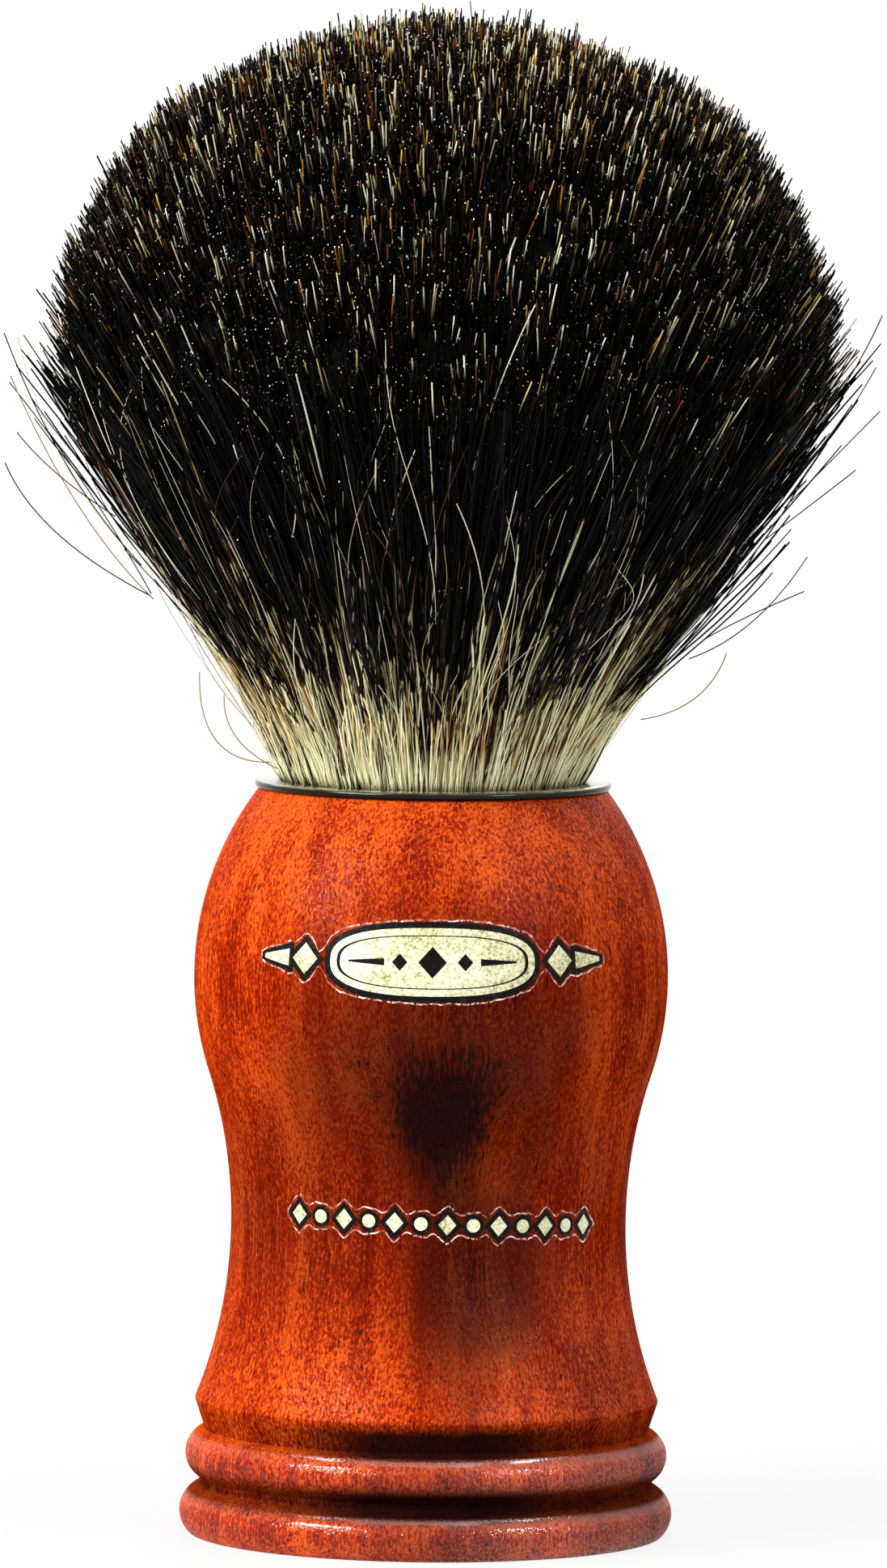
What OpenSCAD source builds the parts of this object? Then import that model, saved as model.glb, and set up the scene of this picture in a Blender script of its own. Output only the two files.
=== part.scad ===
// Shaving brush: a turned hardwood handle, a plated collar and a glued hair knot.
// The brush stands on its foot: Z is its turning axis and Z = 0 is the face it rests on.

/* [Handle] */
// Height of the wood, from the foot to the face under the collar
handle_h = 53.2; // [50:0.1:60]
// Diameter of the belly
belly_d = 33.7; // [32.5:0.1:38]
// Distance from the top face down to the belly
shoulder_h = 13.4; // [11:0.1:16]
// Wall of wood round the socket, at the top face
rim_w = 1; // [0.8:0.1:2]
// Diameter of the waist
waist_d = 28.1; // [26:0.1:30]
// Height of the waist above the foot
waist_z = 22.3; // [20:0.1:25]
// Where the curve turns from hollow to round, as a share of the way down from the belly
turn_share = 0.39; // [0.3:0.01:0.6]
// Diameter of the flare's lower edge
flare_d = 33; // [32:0.1:38]

/* [Foot] */
// Diameter of the foot bead, the widest place of the wood
foot_bead_d = 35.1; // [34:0.1:40]
// Radius of the foot bead's round
foot_bead_r = 2.05; // [1.6:0.05:2.6]
// How much of the foot bead's underside is faced off flat
foot_facing = 0.5; // [0.2:0.05:0.9]
// Diameter of the upper bead
upper_bead_d = 34.3; // [33:0.1:40]
// Radius of the upper bead's round
upper_bead_r = 1.9; // [1.6:0.05:2.6]
// Depth of the quirk between the beads, from the upper bead's widest place
quirk_depth = 1; // [0.8:0.1:1.4]
// Width of the quirk where the beads' rounds come nearest
quirk_w = 0.2; // [0.1:0.05:0.8]
// Depth of the cove under the flare's edge
cove_depth = 0.65; // [0.4:0.05:1]
// Height of the cove, from the upper bead to the flare's edge
cove_h = 2; // [1:0.1:3]

/* [Collar] */
// Bore of the collar, which takes the knot
bore_d = 21.6; // [20:0.1:24]
// Wall of the collar's tube
collar_wall = 0.4; // [0.3:0.05:0.6]
// Depth of the tube below the flange
collar_depth = 9.5; // [8.5:0.1:12]
// Thickness of the flange
flange_t = 0.6; // [0.5:0.05:1]
// How far the flange stands out past the wood
flange_overhang = 0.3; // [0.1:0.05:0.6]
// Radius of the collar's rolled mouth
mouth_r = 0.45; // [0.3:0.05:0.5]

/* [Knot] */
// Height of the dense hair above the collar, with only loose tips above it
loft = 53.4; // [48:0.1:60]
// Diameter of the dense hair at its widest
bloom_d = 53.6; // [48:0.1:62]
// Height of the hair's widest place above the collar
bloom_z = 29; // [28:0.1:38]
// Angle between the outer hairs and the axis as they leave the collar
spread_angle = 24; // [22:1:40]
// How far above the collar that angle pulls on the outline
spread_reach = 9.5; // [4:0.5:12]
// How far below the widest place the outline starts to pull upright
bend_reach = 6; // [3:0.5:12]
// How far above the widest place it keeps pulling upright
dome_reach = 16; // [8:0.5:17]
// How far from the axis the crown of the dome pulls level
crown_reach = 11.5; // [6:0.5:17]
// How far the hair swells past the bore as it bends over the collar's mouth
root_swell = 0.3; // [0.1:0.05:0.35]
// Height of the resin plug that holds the roots
plug_h = 8; // [7:0.1:8.5]
// Thickness of the waxed thread that binds the roots
thread_d = 0.5; // [0.3:0.05:0.6]
// Distance from one turn of the thread to the next, which it beds into
thread_pitch = 0.45; // [0.28:0.01:0.5]
// Number of turns of the thread
thread_turns = 5; // [3:1:7]
// Height of the binding's middle above the underside of the plug
binding_z = 4; // [3:0.1:5]

/* [Glue and fits] */
// Thickness of the epoxy under the plug
bed_t = 1; // [0.6:0.1:2]
// Room for glue round the collar's tube
glue_gap = 0.15; // [0.1:0.05:0.25]
// Room between the collar and the plug or the hair
knot_clearance = 0.1; // [0.05:0.05:0.2]
// Chamfer on the socket's mouth and on the end of the tube
edge_break = 0.2; // [0.1:0.05:0.3]

/* [Hidden] */

$fn = 96;
steps = 24;    // chords in each long curve
eps = 0.01;    // how far a cut runs past the face that it opens

// Radius of an arc that starts upright, and is w to the side of its start after a height h.
function upright_arc_r(w, h) = (w * w + h * h) / (2 * w);

// The socket in the handle and what it holds.
collar_d = bore_d + 2 * collar_wall;
collar_bottom = handle_h - collar_depth;
collar_top = handle_h + flange_t;
socket_d = collar_d + 2 * glue_gap;
socket_floor = collar_bottom - bed_t;
top_d = socket_d + 2 * rim_w;
flange_d = top_d + 2 * flange_overhang;
plug_d = bore_d - 2 * knot_clearance;
plug_top = collar_bottom + plug_h;
binding_w = (thread_turns - 1) * thread_pitch + thread_d;
binding_seat_d = plug_d - 2 * thread_d;

// The two beads: the centres of their rounds, each as [radius, height].
foot_bead_c = [foot_bead_d / 2 - foot_bead_r, foot_bead_r - foot_facing];
upper_bead_c = [
    upper_bead_d / 2 - upper_bead_r,
    foot_bead_c[1] + foot_bead_r + quirk_w + upper_bead_r
];
quirk_d = upper_bead_d - 2 * quirk_depth;
bead_top = upper_bead_c[1] + upper_bead_r;
cove_d = flare_d - 2 * cove_depth;
flare_z = bead_top + cove_h;

// The body: four arcs, upright at the waist and the belly, so that they meet with no corner.
belly_z = handle_h - shoulder_h;
belly_rise = belly_z - waist_z;
flare_r = upright_arc_r((flare_d - waist_d) / 2, waist_z - flare_z);
ogee_r = upright_arc_r((belly_d - waist_d) / 2, belly_rise);    // the hollow's and the round's, added
hollow_r = ogee_r * (1 - turn_share);
round_r = ogee_r * turn_share;
shoulder_r = upright_arc_r((belly_d - top_d) / 2, shoulder_h);
flare_angle = asin((waist_z - flare_z) / flare_r);
turn_angle = asin(belly_rise / ogee_r);
shoulder_angle = asin(shoulder_h / shoulder_r);

// The hair's outline above the collar.
hair_top = collar_top + loft;
widest = [bloom_d / 2, collar_top + bloom_z];

// Points on an arc from angle a to angle b, round the centre that puts its upright end at p.
// side is 1 for an arc that bulges outwards and -1 for a hollow one.
function arc(p, r, side, a, b, first = 0) = [
    for (i = [first:steps])
        let (angle = a + (b - a) * i / steps)
            p + side * r * [cos(angle) - 1, sin(angle)]
];

// Points on the cubic curve from a to d that leaves towards b and arrives from c.
function sweep(a, b, c, d, first = 0, last = steps) = [
    for (i = [first:last])
        let (t = i / steps, u = 1 - t)
            u * u * u * a + 3 * u * u * t * b + 3 * u * t * t * c + t * t * t * d
];

// The solid between the axis and an outline that runs upwards to the height top.
module turned(outline, top) {
    rotate_extrude() polygon(concat([[0, outline[0][1]]], outline, [[0, top]]));
}

// A tube that stands on z, from its inner and outer diameters.
module ring(inner_d, outer_d, z, h) {
    translate([0, 0, z])
        difference() {
            cylinder(d = outer_d, h = h);
            translate([0, 0, -eps]) cylinder(d = inner_d, h = h + 2 * eps);
        }
}

// The foot: two beads with a quirk between them.
module foot() {
    rotate_extrude()
        intersection() {
            union() {
                square([quirk_d / 2, upper_bead_c[1]]);
                square([foot_bead_c[0], foot_bead_c[1] + foot_bead_r]);
                translate([0, upper_bead_c[1] - upper_bead_r]) square([upper_bead_c[0], 2 * upper_bead_r]);
                translate(foot_bead_c) circle(r = foot_bead_r);
                translate(upper_bead_c) circle(r = upper_bead_r);
            }
            square([foot_bead_d, bead_top]);
        }
}

// The cove, and the flare, waist, belly and shoulder above it.
module body() {
    waist = [waist_d / 2, waist_z];
    belly = [belly_d / 2, belly_z];
    turned(concat(
        [[cove_d / 2, upper_bead_c[1]], [cove_d / 2, bead_top]],
        arc(waist, flare_r, -1, flare_angle, 0),
        arc(waist, hollow_r, -1, 0, -turn_angle, first = 1),
        arc(belly, round_r, 1, -turn_angle, 0, first = 1),
        arc(belly, shoulder_r, 1, 0, shoulder_angle, first = 1)
    ), handle_h);
}

// The blind socket, with the edge of its mouth broken.
module socket() {
    translate([0, 0, socket_floor]) cylinder(d = socket_d, h = handle_h - socket_floor + eps);
    translate([0, 0, handle_h - edge_break])
        cylinder(d1 = socket_d, d2 = socket_d + 2 * (edge_break + eps), h = edge_break + eps);
}

module handle() {
    color("#9c3f1c")
        difference() {
            union() {
                foot();
                body();
            }
            socket();
        }
}

// A flanged tube, with a rounded flange and a rolled mouth that the hair bends over.
module collar() {
    mouth = [bore_d / 2 + mouth_r, collar_top - mouth_r];
    flange_edge = [(flange_d - flange_t) / 2, handle_h + flange_t / 2];
    color("#c9ccd1")
        rotate_extrude()
            difference() {
                union() {
                    translate([bore_d / 2, collar_bottom]) square([collar_wall, collar_depth + flange_t]);
                    translate([bore_d / 2, handle_h]) square([flange_edge[0] - bore_d / 2, flange_t]);
                    translate(flange_edge) circle(d = flange_t);
                }
                difference() {
                    translate(mouth - [mouth_r + eps, 0]) square(mouth_r + eps);
                    translate(mouth) circle(r = mouth_r);
                }
                polygon([
                    [collar_d / 2 - edge_break, collar_bottom],
                    [collar_d / 2 + eps, collar_bottom - eps],
                    [collar_d / 2, collar_bottom + edge_break]
                ]);
            }
}

// The bundle of hair: a stub in the collar, then the bloom and the dome of tips.
module hair_knot() {
    root = [bore_d / 2 + root_swell, collar_top + knot_clearance];
    leaving = root + spread_reach * [tan(spread_angle), 1];
    bending = widest - [0, bend_reach];
    rounding = widest + [0, dome_reach];
    crown = [crown_reach, hair_top];
    color("#7d6a58")
        turned(concat(
            [[plug_d / 2, plug_top], [plug_d / 2, collar_top - mouth_r / 2]],
            sweep(root, leaving, bending, widest),
            sweep(widest, rounding, crown, [0, hair_top], first = 1, last = steps - 1)
        ), hair_top);
}

// The resin that holds the roots, with a seat for the thread.
module knot_plug() {
    color("#d8c79a")
        difference() {
            translate([0, 0, collar_bottom]) cylinder(d = plug_d, h = plug_h);
            ring(binding_seat_d, plug_d + 2 * eps, collar_bottom + binding_z - binding_w / 2, binding_w);
        }
}

// The waxed thread, turn beside turn round its seat in the plug.
module root_binding() {
    first_turn = collar_bottom + binding_z - (binding_w - thread_d) / 2;
    color("#ece3cc")
        rotate_extrude()
            for (turn = [0 : thread_turns - 1])
                translate([(binding_seat_d + thread_d) / 2, first_turn + turn * thread_pitch])
                    circle(d = thread_d);
}

// The epoxy that the knot stands in: a disc on the socket's floor and a film round the tube.
module epoxy_bed() {
    color("#e6dfc4") {
        translate([0, 0, socket_floor]) cylinder(d = socket_d, h = bed_t);
        ring(collar_d, socket_d, collar_bottom, collar_depth);
    }
}

handle();
collar();
hair_knot();
knot_plug();
root_binding();
epoxy_bed();
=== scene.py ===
import math

import bmesh
import bpy
import numpy as np
from bpy.props import FloatProperty, FloatVectorProperty, IntProperty, PointerProperty
from mathutils import Matrix, Vector
from mathutils.bvhtree import BVHTree
from mathutils.kdtree import KDTree


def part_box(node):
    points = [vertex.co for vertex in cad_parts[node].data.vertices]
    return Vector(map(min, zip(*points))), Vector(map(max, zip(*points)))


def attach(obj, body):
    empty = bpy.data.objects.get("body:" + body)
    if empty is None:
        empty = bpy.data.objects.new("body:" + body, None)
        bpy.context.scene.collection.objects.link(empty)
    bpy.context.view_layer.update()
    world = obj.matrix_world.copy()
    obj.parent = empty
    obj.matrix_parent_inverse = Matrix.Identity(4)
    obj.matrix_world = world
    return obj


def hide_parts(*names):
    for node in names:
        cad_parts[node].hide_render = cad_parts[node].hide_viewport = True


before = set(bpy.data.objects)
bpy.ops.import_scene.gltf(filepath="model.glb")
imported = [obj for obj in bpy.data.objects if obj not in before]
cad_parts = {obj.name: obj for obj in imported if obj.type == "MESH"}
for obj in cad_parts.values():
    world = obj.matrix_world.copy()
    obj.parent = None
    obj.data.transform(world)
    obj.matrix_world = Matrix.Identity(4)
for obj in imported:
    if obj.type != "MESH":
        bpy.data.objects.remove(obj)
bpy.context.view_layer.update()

bl_info = {
    "name": "Shaving brush",
    "version": (1, 0, 0),
    "blender": (4, 5, 0),
    "location": "View3D > Sidebar > Brush",
    "description": "Turns the handle, plants the hair and lays the labels of a shaving brush",
    "category": "Add Mesh",
}

MM = 0.001
TURN = 2 * math.pi
TINY = 1e-6  # places nearer than this are one, in metres

# Image points, in the photograph's frame scaled to a long side of 1568.
POINT_W, POINT_H = 887, 1568
IMAGE_POINTS = {
    "flange_left": (256.0, 782.2),
    "flange_right": (611.3, 785.7),
    "belly_left": (194.0, 978.5),
    "belly_right": (668.0, 979.3),
    "waist_left": (231.1, 1213.0),
    "waist_right": (625.6, 1231.3),
    "flare_left": (196.5, 1399.0),
    "flare_right": (657.0, 1404.6),
    "foot_left": (179.5, 1510.6),
    "foot_right": (672.0, 1513.8),
    "upper_label": (432.2, 962.3),
    "lower_label": (440.7, 1221.9),
}


def rows_of(mesh):
    """A mesh's vertices as rows."""
    co = np.empty(len(mesh.vertices) * 3, np.float32)
    mesh.vertices.foreach_get("co", co)
    return co.reshape(-1, 3).astype(float)


def outline_of(node):
    """A turned node's outline as (radius, height) rows, from the vertices on its seam, foot first."""
    co = rows_of(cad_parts[node].data)
    seam = co[(abs(co[:, 1]) < TINY) & (co[:, 0] > 0)]
    rows = np.unique(np.round(seam[:, [0, 2]], 6), axis=0)
    return rows[np.lexsort((rows[:, 0], rows[:, 1]))]


WOOD_TOP, MOUTH_Z, HAIR_TOP = (float(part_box(node)[1][2]) for node in ("handle", "collar", "hair_knot"))
HANDLE_ROWS = outline_of("handle")
KNOT_ROWS = outline_of("hair_knot")
# The handle's outside, which ends at the rim of its top face, and the socket within.
RIM = HANDLE_ROWS[HANDLE_ROWS[:, 1] >= WOOD_TOP - TINY][:, 0].max()
OUTSIDE = HANDLE_ROWS[HANDLE_ROWS[:, 0] >= RIM - TINY]
SOCKET = HANDLE_ROWS[HANDLE_ROWS[:, 0] < RIM - TINY]


def grooves():
    """The lowest and highest places of the quirk's bottom and of the cove's, from the handle's outline."""
    foot = HANDLE_ROWS[HANDLE_ROWS[:, 1] < 0.22 * WOOD_TOP]
    radius = foot[:, 0]
    crests = [i for i in range(1, len(foot) - 1) if radius[i] > max(radius[i - 1], radius[i + 1])]
    found = []
    for lower, upper in zip(crests, crests[1:]):
        between = foot[lower : upper + 1]
        bottom = between[:, 0].min()
        depth = min(radius[lower], radius[upper]) - bottom
        deep = between[between[:, 0] < bottom + 0.6 * depth]
        found.append((deep[0, 1], deep[-1, 1]))
    return found


GROOVES = grooves()


def linear(code):
    """An sRGB hex colour as linear red, green, blue and alpha."""
    parts = [int(code[i : i + 2], 16) / 255 for i in (1, 3, 5)]
    return tuple(c / 12.92 if c <= 0.04045 else ((c + 0.055) / 1.055) ** 2.4 for c in parts) + (1.0,)


def colour_property(name, description, code):
    """A colour that the user can change, from its sRGB hex value."""
    return FloatVectorProperty(
        name=name, description=description, subtype="COLOR", size=4, min=0, max=1, default=linear(code)
    )


def length_property(name, description, millimetres):
    """A length that the user can change."""
    return FloatProperty(
        name=name, description=description, subtype="DISTANCE", unit="LENGTH", default=millimetres * MM, min=0
    )


def power_property(which, watts):
    """The power of one of the panels of light, which the user can change."""
    description = f"Power of the {which.lower()} panel of light"
    return FloatProperty(name=f"{which} panel", description=description, subtype="POWER", default=watts)


class WoodSettings(bpy.types.PropertyGroup):
    """Sizes and colours of the turned handle."""

    segments: IntProperty(name="Segments", description="Faces round the handle", default=256, min=64)
    eased: length_property("Eased edge", "Radius that sanding leaves on a turned edge", 0.14)
    light: colour_property("Light wood", "Colour of the pale fibres", "#ec5e18")
    middle: colour_property("Wood", "Colour of most of the wood", "#9f2304")
    dark: colour_property("Dark wood", "Colour of the dark fibres", "#641404")
    # The figure colour is also that of the painted shade in the grooves and on the right side.
    figure: colour_property("Figure", "Colour of the dark figure and the pores", "#150807")


class HairSettings(bpy.types.PropertyGroup):
    """Numbers, sizes and colours of the hair."""

    outer: IntProperty(name="Outer hairs", description="Hairs shown from root to tip", default=6400, min=100)
    inner: IntProperty(name="Inner hairs", description="Hairs of which tips show", default=24000, min=100)
    thickness: length_property("Thickness", "Thickness of a hair at its thickest place", 0.14)
    black: colour_property("Black", "Colour of the hair's black band", "#050606")
    cream: colour_property("Cream", "Colour of the hair's root", "#fff0b4")
    brown: colour_property("Brown", "Colour between the cream root and the black band", "#744a24")


class LabelSettings(bpy.types.PropertyGroup):
    """Sizes and colours of the two printed labels."""

    plate_w: length_property("Plate width", "Width of the upper label's plate along the wood", 15.6)
    plate_h: length_property("Plate height", "Height of the upper label's plate", 5.6)
    line: length_property("Outline", "Width of the black outline", 0.42)
    ink: colour_property("Ink", "Colour of the printed outline", "#0c0a0a")
    gold: colour_property("Gold", "Colour of the gold print", "#d9d8a6")


class StageSettings(bpy.types.PropertyGroup):
    """The camera and the light."""

    lens: FloatProperty(name="Lens", description="Focal length, mm", subtype="DISTANCE_CAMERA", default=307.8)
    distance: length_property("Distance", "From the camera to the brush's axis", 950)
    camera_height: length_property("Camera height", "Above the foot", 122)
    aim_height: length_property("Aim height", "Height on the axis that the camera looks at", 53.51)
    aside: length_property("Aside", "How far right of the axis the camera looks", 0.73)
    roll: FloatProperty(
        name="Roll", description="Turn about the line of sight", subtype="ANGLE", default=0.0111
    )
    ambient: FloatProperty(name="Ambient", description="Strength of the light from all round", default=0.17)
    key: power_property("Left", 4.1)
    fill: power_property("Right", 0.92)
    top: power_property("Top", 1.3)
    left: power_property("High left", 1.3)
    right: power_property("High right", 0.8)
    back: power_property("Back", 2.0)


# ---------------------------------------------------------------- nodes and materials

MIX_FACTOR, MIX_A, MIX_B, MIX_OUT = 0, 6, 7, 2


def add(tree, kind, inputs=None, **settings):
    """Adds a shader node: settings are its properties, inputs its sockets' values or what feeds them."""
    made = tree.nodes.new("ShaderNode" + kind)
    for name, value in settings.items():
        setattr(made, name, value)
    for socket, value in (inputs or {}).items():
        if isinstance(value, bpy.types.NodeSocket):
            tree.links.new(value, made.inputs[socket])
        else:
            made.inputs[socket].default_value = value
    return made


def parts_of(tree, vector):
    """A vector's X, Y and Z."""
    return add(tree, "SeparateXYZ", {0: vector}).outputs


def maths(tree, operation, *values):
    """What one maths node makes of its values."""
    return add(tree, "Math", dict(enumerate(values)), operation=operation).outputs[0]


def summed(tree, total, *terms):
    """A total and each term's value times its weight."""
    for value, weight in terms:
        total = maths(tree, "MULTIPLY_ADD", value, weight, total)
    return total


def greatest(tree, values):
    """The greatest of several values."""
    most = values[0]
    for value in values[1:]:
        most = maths(tree, "MAXIMUM", value, most)
    return most


def ranged(tree, value, low, high, start=0.0, end=1.0, ease="LINEAR"):
    """A value taken from the range low to high over to the range start to end."""
    inputs = {"Value": value, "From Min": low, "From Max": high, "To Min": start, "To Max": end}
    return add(tree, "MapRange", inputs, interpolation_type=ease).outputs[0]


def blended(tree, share, first, second):
    """Two colours mixed, with a share of the second."""
    inputs = {MIX_FACTOR: share, MIX_A: first, MIX_B: second}
    return add(tree, "Mix", inputs, data_type="RGBA").outputs[MIX_OUT]


def ramp(tree, value, stops, ease="LINEAR"):
    """The colour on a ramp at a value. Each stop is a place and a colour, as sRGB hex or linear."""
    made = add(tree, "ValToRGB", {0: value})
    made.color_ramp.interpolation = ease
    elements = made.color_ramp.elements
    while len(elements) < len(stops):
        elements.new(1.0)
    for element, (place, colour) in zip(elements, stops):
        element.position = place
        element.color = linear(colour) if isinstance(colour, str) else tuple(colour)
    return made.outputs[0]


def noise(tree, place, scale, detail=2.0, rough=0.5):
    """The outputs of a noise with so many cells to a metre, all round or along each of x, y and z."""
    if not isinstance(scale, float):
        place = add(tree, "Mapping", {"Vector": place, "Scale": scale}).outputs[0]
        scale = 1.0
    inputs = {"Vector": place, "Scale": scale, "Detail": detail, "Roughness": rough}
    return add(tree, "TexNoise", inputs).outputs


def new_material(name):
    """A material, its tree, and the coordinates to lay its pattern by."""
    made = bpy.data.materials.new(name)
    made.use_nodes = True
    made.node_tree.nodes.clear()
    return made, made.node_tree, add(made.node_tree, "TexCoord").outputs


def principled(tree, inputs):
    """Ends a material's tree with a surface of these values."""
    shader = add(tree, "BsdfPrincipled", inputs)
    add(tree, "OutputMaterial", {"Surface": shader.outputs[0]})


# The wood's dark figure, and painted shade, in patches: a centre, its reach along x, y and z, in millimetres,
# and its strength. Most are in front, where the photograph has them, and one is behind, as a solid block
# would show. The three on the right side are painted shade.
FIGURE_AND_SHADE_PATCHES = (
    ((1.3, -15.0, 31.8), (10.0, 10.0, 12.5), 0.99),
    ((0.8, -14.5, 33.0), (18.0, 14.0, 18.0), 0.8),
    ((2.4, -15.6, 39.0), (9.5, 9.0, 10.5), 0.8),
    ((2.0, -14.0, 26.0), (5.0, 8.0, 8.5), 0.88),
    ((3.2, -14.0, 20.5), (9.5, 11.0, 14.0), 0.85),
    ((-1.0, -8.0, 25.5), (27.0, 30.0, 14.5), 0.5),
    ((1.0, -17.0, 2.5), (10.0, 9.0, 7.0), 0.45),
    # Painted shade on the right side: at the beads, the belly and the flare.
    ((16.0, -8.0, 4.0), (10.0, 12.0, 9.0), 0.5),
    ((15.0, -8.0, 36.0), (9.0, 10.0, 9.0), 0.35),
    ((14.0, -10.0, 12.0), (9.0, 10.0, 8.0), 0.35),
    ((-8.0, 13.0, 36.0), (12.0, 13.0, 24.0), 0.8),
)
# How thick the lacquer is from the left edge of the foot to the right one: place and amount.
LACQUERED = ((0.0, 0.12), (0.2, 0.45), (0.5, 0.45), (0.62, 1.0), (0.76, 1.0), (0.93, 0.12))


def hardwood(s):
    """Red tropical hardwood, turned, stained and lacquered: long upright fibres that show as streaks where
    the side runs along them and as speckle where the turning cuts across them, short dark pores, one dark
    figure in front, and a lacquer whose gloss the open grain breaks up. Painted shade darkens the grooves
    between the beads and the wood's right side."""
    made, tree, coords = new_material("Hardwood_turned_stained_lacquered")
    place, figure = coords["Object"], tuple(s.figure)
    # Fibres waver by about 1 mm over 15 mm of height.
    waver = noise(tree, place, (90, 90, 40))["Color"]
    offset = add(tree, "VectorMath", {0: waver, 1: (0.5, 0.5, 0.5)}, operation="SUBTRACT").outputs[0]
    shift = add(tree, "VectorMath", {0: offset, "Scale": 2.2 * MM}, operation="SCALE").outputs[0]
    grain = add(tree, "VectorMath", {0: place, 1: shift}, operation="ADD").outputs[0]

    def streaks(across_mm, along_mm, detail, rough=0.55):
        """Noise whose cells are across_mm wide and along_mm high."""
        across, along = 1 / (across_mm * MM), 1 / (along_mm * MM)
        return noise(tree, grain, (across, across, along), detail, rough)["Fac"]

    fibres = streaks(0.2, 9.0, 3.0)
    specks = streaks(0.16, 0.36, 2.0, 0.7)
    bands = streaks(2.6, 34.0, 2.0)
    clouds = streaks(6.0, 9.0, 3.0)
    pores = streaks(0.26, 2.4, 1.0)
    # Where the turning cuts across the fibres, the speckle is paler.
    facing = parts_of(tree, coords["Normal"])["Z"]
    cut_across = maths(tree, "ABSOLUTE", facing)
    parts = (fibres, 0.44), (specks, 0.72), (bands, 0.34), (clouds, 0.18), (cut_across, 0.12)
    tone = summed(tree, 0.0, *parts)
    colour = ramp(tree, tone, [(0.7, s.dark), (0.845, s.middle), (1.0, s.light)])

    figure_and_shade = []
    for centre, size, strength in FIGURE_AND_SHADE_PATCHES:
        away = add(tree, "Mapping", {
            "Vector": grain,
            "Location": tuple(-c / w for c, w in zip(centre, size)),
            "Scale": tuple(1 / (w * MM) for w in size),
        }).outputs[0]
        far = add(tree, "VectorMath", {0: away}, operation="LENGTH").outputs["Value"]
        ragged = summed(tree, far, (clouds, -0.5), (fibres, -1.0), (specks, -0.6))
        figure_and_shade.append(ranged(tree, ragged, -0.86, -0.04, strength, 0.0, "SMOOTHSTEP"))
    # The figure and the painted shade on the right side, in the figure colour.
    colour = blended(tree, greatest(tree, figure_and_shade), colour, figure)

    # Painted shade: the quirk between the beads and the cove are painted dark, most of all in front, and they
    # are matt. Lacquer pools on the crest below each.
    apart = parts_of(tree, place)
    aside = maths(tree, "ABSOLUTE", maths(tree, "SUBTRACT", apart["X"], 1 * MM))
    groove_shade, hollows, crests = [], [], []
    for (low, high), least in zip(GROOVES, (0.72, 0.3)):
        entering = ranged(tree, apart["Z"], low - 0.9 * MM, low - 0.1 * MM, 0.0, 0.98, "SMOOTHSTEP")
        leaving = ranged(tree, apart["Z"], high + 0.1 * MM, high + 1.4 * MM, 1.0, 0.0, "SMOOTHSTEP")
        hollows.append(maths(tree, "MULTIPLY", entering, leaving))
        ahead = ranged(tree, aside, 4 * MM, 15 * MM, 1.0, least, "SMOOTHSTEP")
        groove_shade.append(maths(tree, "MULTIPLY", hollows[-1], ahead))
        off_crest = maths(tree, "ABSOLUTE", maths(tree, "SUBTRACT", apart["Z"], low - 0.62 * MM))
        crests.append(ranged(tree, off_crest, 0.2 * MM, 0.45 * MM, 1.0, 0.0))
    # The grooves' painted shade, in the figure colour.
    colour = blended(tree, greatest(tree, groove_shade), colour, figure)
    open_pores = ranged(tree, pores, 0.69, 0.75, 0.0, 0.8)
    colour = blended(tree, open_pores, colour, figure)
    relief = summed(tree, specks, (open_pores, -1.2), (fibres, 0.5))
    bump = add(tree, "Bump", {"Height": relief, "Strength": 0.8, "Distance": 0.07 * MM})

    # The lacquer is thick on the beads. Above them it is patchy, and worn thinnest where the hand holds.
    patchy = ranged(tree, clouds, 0.42, 0.62, 0.0, 0.06)
    thick = ranged(tree, apart["Z"], *GROOVES[-1], 0.85, 0.0)
    kept = summed(tree, patchy, (maths(tree, "MAXIMUM", facing, 0.0), 0.35))
    clear = maths(tree, "SUBTRACT", 1.0, greatest(tree, hollows))
    lacquer = maths(tree, "MULTIPLY", greatest(tree, [thick, kept]), clear)
    # The grain breaks it into flecks. It lies thickest right of the middle and thin at the far sides.
    fleck = ranged(tree, streaks(0.15, 0.17, 1.0), 0.42, 0.62, 0.3, 1.4)
    pooled = greatest(tree, crests)
    lacquer = maths(tree, "MAXIMUM", maths(tree, "MULTIPLY", lacquer, fleck), pooled)
    across = ranged(tree, apart["X"], -22 * MM, 22 * MM)
    brushed = ramp(tree, across, [(x, (amount, amount, amount, 1.0)) for x, amount in LACQUERED])
    gloss = add(tree, "Bump", {
        "Height": streaks(0.2, 0.22, 1.0), "Strength": ranged(tree, pooled, 0.0, 1.0, 1.0, 0.12),
        "Distance": 0.07 * MM,
    })
    principled(tree, {
        "Base Color": colour, "Roughness": 0.6, "IOR": 1.5, "Specular IOR Level": 0.0,
        "Coat Weight": maths(tree, "MULTIPLY", lacquer, brushed),
        "Coat Roughness": ranged(tree, specks, 0.35, 0.65, 0.05, 0.13), "Coat IOR": 1.7,
        "Normal": bump.outputs[0], "Coat Normal": gloss.outputs[0],
    })
    return made


def nickel():
    """Nickel plate on spun brass: a polished, faintly brushed face, with painted reflection: bright on the
    face that looks up and dark on the rim.
    """
    made, tree, coords = new_material("Nickel_plated_spun_brass")
    plating_mottle = noise(tree, coords["Object"], 900.0, 3.0)["Fac"]
    # Painted reflection: the face that looks up is painted bright, and the rim painted dark.
    up = parts_of(tree, coords["Normal"])["Z"]
    painted_reflection = summed(tree, up, (plating_mottle, 0.3))
    principled(tree, {
        "Base Color": ramp(tree, painted_reflection, [(0.45, "#262823"), (0.7, "#4c4f46"), (0.95, "#d6d3c2")]),
        "Metallic": 1.0, "Roughness": ranged(tree, plating_mottle, 0.0, 1.0, 0.1, 0.24),
    })
    return made


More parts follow.
